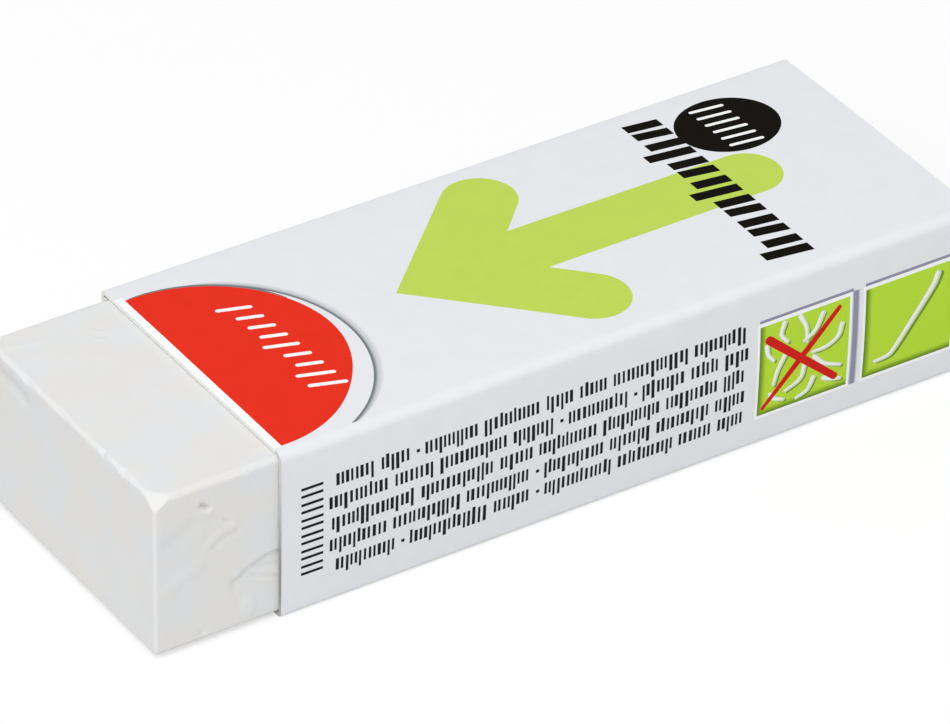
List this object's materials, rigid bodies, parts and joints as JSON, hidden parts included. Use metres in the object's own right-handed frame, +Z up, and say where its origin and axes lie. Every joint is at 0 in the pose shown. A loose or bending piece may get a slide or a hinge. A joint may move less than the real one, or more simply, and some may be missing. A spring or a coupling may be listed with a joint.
{
  "type": "plastic eraser",
  "caption": "Rectangular block of soft white vinyl rubber for erasing pencil, in a folded and printed card sleeve that slides along the block to bare its end.",
  "frame": {"origin": "centre of the footprint, on the surface that the sleeve lies on", "axes": "+X along the length, from the bare rubbing end to the covered end; +Y across, from the printed near side to the glued seam side; +Z up through the printed top panel"},
  "size_m": [0.0654, 0.023, 0.0132],
  "materials": {
    "vinyl_block": "matte",
    "printed_card": "satin"
  },
  "bodies": {
    "eraser": {"eraser_block": "vinyl_block"},
    "sleeve": {"card_sleeve": "printed_card"}
  },
  "joints": [
    {"name": "sleeve_slide", "type": "slide", "parent": "eraser", "child": "sleeve", "axis": [1, 0, 0], "range_m": [-0.0095, 0.0575]}
  ]
}
